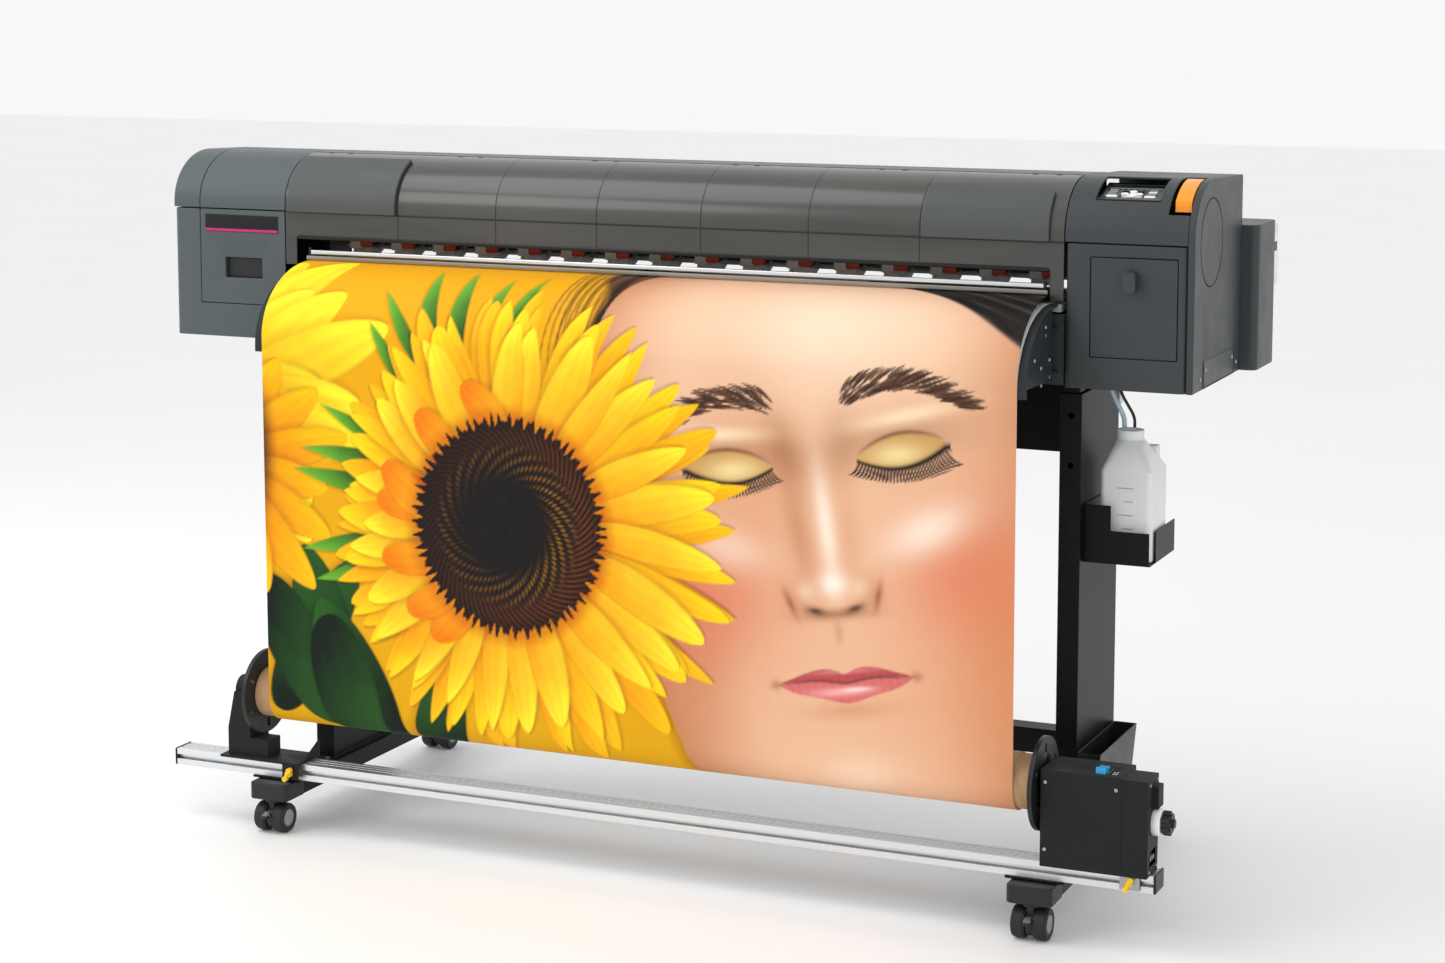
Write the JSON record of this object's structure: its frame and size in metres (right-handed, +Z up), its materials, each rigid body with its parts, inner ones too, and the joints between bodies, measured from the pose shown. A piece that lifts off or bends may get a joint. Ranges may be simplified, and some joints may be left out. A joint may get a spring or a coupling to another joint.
{
  "type": "wide-format inkjet printer on stand",
  "caption": "Floor-standing wide-format roll printer: casing with hinged front cover and doors, carriage on a beam, media path over an apron, stand on casters, motorised take-up.",
  "frame": {"origin": "floor level, centre of the overall box", "axes": "+X along the print width to the operator's right, -Y towards the operator, +Z up"},
  "size_m": [1.92, 0.69, 1.19],
  "materials": {
    "casing_mid": "moulded casing with a fine satin grain",
    "casing_dark": "darker moulded casing with a fine satin grain",
    "smoked_cover": "smoked moulded cover, semi-gloss",
    "cover_panel": "grey moulded panel",
    "stand_black": "black powder coat",
    "chassis_grey": "grey painted sheet steel",
    "aluminium": "anodised extrusion",
    "platen_grey": "light grey enamel",
    "apron_grey": "grey enamel on sheet steel",
    "motor_grey": "dark grey fine-texture paint",
    "steel": "turned steel",
    "rubber_black": "black rubber",
    "black_plastic": "black moulded plastic",
    "orange_plastic": "orange moulded plastic",
    "red_rubber": "orange-red rubber roller",
    "ivory_plastic": "ivory moulded plastic",
    "white_key": "white keys",
    "blue_plastic": "blue rocker",
    "yellow_plastic": "yellow moulded plastic",
    "bottle_plastic": "milky blow-moulded plastic",
    "tube_clear": "clear soft tube",
    "cardboard": "brown paper core",
    "media_print": "printed media",
    "media_plain": "unprinted media",
    "modules": "motors, board and supply",
    "cartridge": "ink cartridge"
  },
  "bodies": {
    "frame": {"chassis": "chassis_grey", "left_housing": "casing_mid", "right_housing": "casing_dark", "left_top_cover": "casing_mid", "right_top_cover": "casing_dark", "rear_cover": "cover_panel", "control_panel": "black_plastic", "ink_box": "casing_dark", "carriage_beam": "aluminium", "platen": "platen_grey", "front_apron": "apron_grey", "drive_belt": "rubber_black", "internal_modules": "modules", "stand_frame": "stand_black", "end_caps": "black_plastic", "fasteners": "steel", "takeup_rail": "aluminium", "motor_housing": "motor_grey", "bottle_bracket": "stand_black", "waste_bottle": "bottle_plastic", "tool_tray": "black_plastic", "media_web": "media_print", "drain_tube_clear": "tube_clear", "drain_tube_black": "rubber_black"},
    "cover": {"front_cover": "smoked_cover", "cover_end_panels": "cover_panel"},
    "door_left": {"left_door": "casing_mid"},
    "door_right": {"right_door": "casing_dark"},
    "knob": {"door_knob": "casing_dark"},
    "lever": {"pressure_lever": "orange_plastic"},
    "head": {"carriage": "black_plastic"},
    "pulley_drive": {"drive_pulley": "aluminium"},
    "pulley_idler": {"idler_pulley": "aluminium"},
    "feed": {"feed_roller": "steel"},
    "arms": {"pinch_arms": "ivory_plastic"},
    "pinch": {"pinch_rollers": "red_rubber"},
    "cap": {"capping_station": "black_plastic"},
    "supply": {"supply_roll": "media_plain"},
    "takeup": {"takeup_flanges": "black_plastic", "takeup_core": "cardboard"},
    "support": {"left_support": "motor_grey"},
    "wing_l": {"wing_screw_left": "yellow_plastic"},
    "wing_r": {"wing_screw_right": "yellow_plastic"},
    "rocker": {"rocker_switch": "blue_plastic"},
    "tension": {"tension_knob": "black_plastic"},
    "pad": {"arrow_pad": "white_key"},
    "key_a": {"menu_key": "white_key"},
    "key_b": {"enter_key": "white_key"},
    "ink_a": {"ink_cartridge_1": "cartridge"},
    "ink_b": {"ink_cartridge_2": "cartridge"},
    "tab_l": {"brake_tab_l": "steel"},
    "tab_r": {"brake_tab_r": "steel"},
    "fork_fl": {"caster_fork_fl": "black_plastic"},
    "wheel_fl": {"caster_wheel_fl": "rubber_black"},
    "fork_fr": {"caster_fork_fr": "black_plastic"},
    "wheel_fr": {"caster_wheel_fr": "rubber_black"},
    "fork_rl": {"caster_fork_rl": "black_plastic"},
    "wheel_rl": {"caster_wheel_rl": "rubber_black"},
    "fork_rr": {"caster_fork_rr": "black_plastic"},
    "wheel_rr": {"caster_wheel_rr": "rubber_black"}
  },
  "joints": [
    {"name": "front_cover_hinge", "type": "hinge", "parent": "frame", "child": "cover", "pos_m": [0, -0.047, 1.184], "axis": [-1, 0, 0], "range_deg": [0, 75]},
    {"name": "left_door_hinge", "type": "hinge", "parent": "frame", "child": "door_left", "pos_m": [-0.902, -0.148, 1.004], "axis": [0, 0, -1], "range_deg": [0, 105]},
    {"name": "right_door_hinge", "type": "hinge", "parent": "frame", "child": "door_right", "pos_m": [0.767, -0.148, 0.989], "axis": [0, 0, -1], "range_deg": [0, 105]},
    {"name": "door_knob_turn", "type": "hinge", "parent": "door_right", "child": "knob", "pos_m": [0.832, -0.15, 1.032], "axis": [0, 1, 0], "range_deg": [0, 90]},
    {"name": "pressure_lever_hinge", "type": "hinge", "parent": "frame", "child": "lever", "pos_m": [0.906, -0.05, 1.164], "axis": [-1, 0, 0], "range_deg": [0, 55]},
    {"name": "pinch_arm_hinge", "type": "hinge", "parent": "frame", "child": "arms", "pos_m": [0.011, -0.005, 1.018], "axis": [-1, 0, 0], "range_deg": [0, 6.1]},
    {"name": "pinch_roller_spin", "type": "hinge", "parent": "arms", "child": "pinch", "pos_m": [0.011, -0.038, 0.9983], "axis": [1, 0, 0], "continuous": true},
    {"name": "feed_roller_spin", "type": "hinge", "parent": "frame", "child": "feed", "pos_m": [0.011, -0.038, 0.9777], "axis": [1, 0, 0], "continuous": true},
    {"name": "carriage_slide", "type": "slide", "parent": "frame", "child": "head", "axis": [-1, 0, 0], "range_m": [0, 1.677]},
    {"name": "drive_pulley_spin", "type": "hinge", "parent": "frame", "child": "pulley_drive", "pos_m": [0.868, -0.026, 1.14], "axis": [0, 0, 1], "range_deg": [0, 8584]},
    {"name": "idler_pulley_spin", "type": "hinge", "parent": "frame", "child": "pulley_idler", "pos_m": [-0.932, -0.026, 1.14], "axis": [0, 0, 1], "range_deg": [0, 8584]},
    {"name": "capping_lift", "type": "slide", "parent": "frame", "child": "cap", "axis": [0, 0, 1], "range_m": [0, 0.008]},
    {"name": "supply_roll_spin", "type": "hinge", "parent": "frame", "child": "supply", "pos_m": [0.011, 0.165, 0.8], "axis": [1, 0, 0], "continuous": true},
    {"name": "takeup_spin", "type": "hinge", "parent": "frame", "child": "takeup", "pos_m": [0.011, -0.26, 0.242], "axis": [1, 0, 0], "continuous": true},
    {"name": "left_support_slide", "type": "slide", "parent": "frame", "child": "support", "axis": [-1, 0, 0], "range_m": [0, 0.09]},
    {"name": "wing_screw_left_turn", "type": "hinge", "parent": "support", "child": "wing_l", "pos_m": [-0.638, -0.288, 0.1085], "axis": [0, 1, 0], "continuous": true},
    {"name": "wing_screw_right_turn", "type": "hinge", "parent": "frame", "child": "wing_r", "pos_m": [0.884, -0.288, 0.1085], "axis": [0, 1, 0], "continuous": true},
    {"name": "rocker_pivot", "type": "hinge", "parent": "frame", "child": "rocker", "pos_m": [0.836, -0.284, 0.278], "axis": [1, 0, 0], "range_deg": [0, 16]},
    {"name": "tension_knob_turn", "type": "hinge", "parent": "frame", "child": "tension", "pos_m": [0.931, -0.274, 0.206], "axis": [1, 0, 0], "range_deg": [-150, 150]},
    {"name": "arrow_pad_press", "type": "slide", "parent": "frame", "child": "pad", "axis": [0, 0.2672, -0.9636], "range_m": [0, 0.001], "stiffness_N_per_m": 600},
    {"name": "menu_key_press", "type": "slide", "parent": "frame", "child": "key_a", "axis": [0, 0.2672, -0.9636], "range_m": [0, 0.001], "stiffness_N_per_m": 600},
    {"name": "enter_key_press", "type": "slide", "parent": "frame", "child": "key_b", "axis": [0, 0.2672, -0.9636], "range_m": [0, 0.001], "stiffness_N_per_m": 600},
    {"name": "ink_cartridge_1_slide", "type": "slide", "parent": "frame", "child": "ink_a", "axis": [0, 1, 0], "range_m": [0, 0.14]},
    {"name": "ink_cartridge_2_slide", "type": "slide", "parent": "frame", "child": "ink_b", "axis": [0, 1, 0], "range_m": [0, 0.14]},
    {"name": "caster_swivel_fl", "type": "hinge", "parent": "frame", "child": "fork_fl", "pos_m": [-0.673, -0.297, 0.06], "axis": [0, 0, 1], "continuous": true},
    {"name": "caster_spin_fl", "type": "hinge", "parent": "fork_fl", "child": "wheel_fl", "pos_m": [-0.673, -0.297, 0.026], "axis": [1, 0, 0], "continuous": true},
    {"name": "caster_swivel_fr", "type": "hinge", "parent": "frame", "child": "fork_fr", "pos_m": [0.729, -0.297, 0.06], "axis": [0, 0, 1], "continuous": true},
    {"name": "caster_spin_fr", "type": "hinge", "parent": "fork_fr", "child": "wheel_fr", "pos_m": [0.729, -0.297, 0.026], "axis": [1, 0, 0], "continuous": true},
    {"name": "caster_swivel_rl", "type": "hinge", "parent": "frame", "child": "fork_rl", "pos_m": [-0.673, 0.297, 0.06], "axis": [0, 0, 1], "continuous": true},
    {"name": "caster_spin_rl", "type": "hinge", "parent": "fork_rl", "child": "wheel_rl", "pos_m": [-0.673, 0.297, 0.026], "axis": [1, 0, 0], "continuous": true},
    {"name": "caster_swivel_rr", "type": "hinge", "parent": "frame", "child": "fork_rr", "pos_m": [0.729, 0.297, 0.06], "axis": [0, 0, 1], "continuous": true},
    {"name": "caster_spin_rr", "type": "hinge", "parent": "fork_rr", "child": "wheel_rr", "pos_m": [0.729, 0.297, 0.026], "axis": [1, 0, 0], "continuous": true},
    {"name": "brake_tab_l", "type": "hinge", "parent": "fork_fl", "child": "tab_l", "pos_m": [-0.673, -0.324, 0.035], "axis": [1, 0, 0], "range_deg": [0, 12]},
    {"name": "brake_tab_r", "type": "hinge", "parent": "fork_fr", "child": "tab_r", "pos_m": [0.729, -0.324, 0.035], "axis": [1, 0, 0], "range_deg": [0, 12]}
  ],
  "couplings": [
    {"joint": "drive_pulley_spin", "follows": "carriage_slide", "rad_per_m": 89.286},
    {"joint": "idler_pulley_spin", "follows": "carriage_slide", "rad_per_m": 89.286},
    {"joint": "pinch_roller_spin", "follows": "feed_roller_spin", "ratio": -1.7143},
    {"joint": "pinch_arm_hinge", "follows": "pressure_lever_hinge", "ratio": 0.10909}
  ]
}
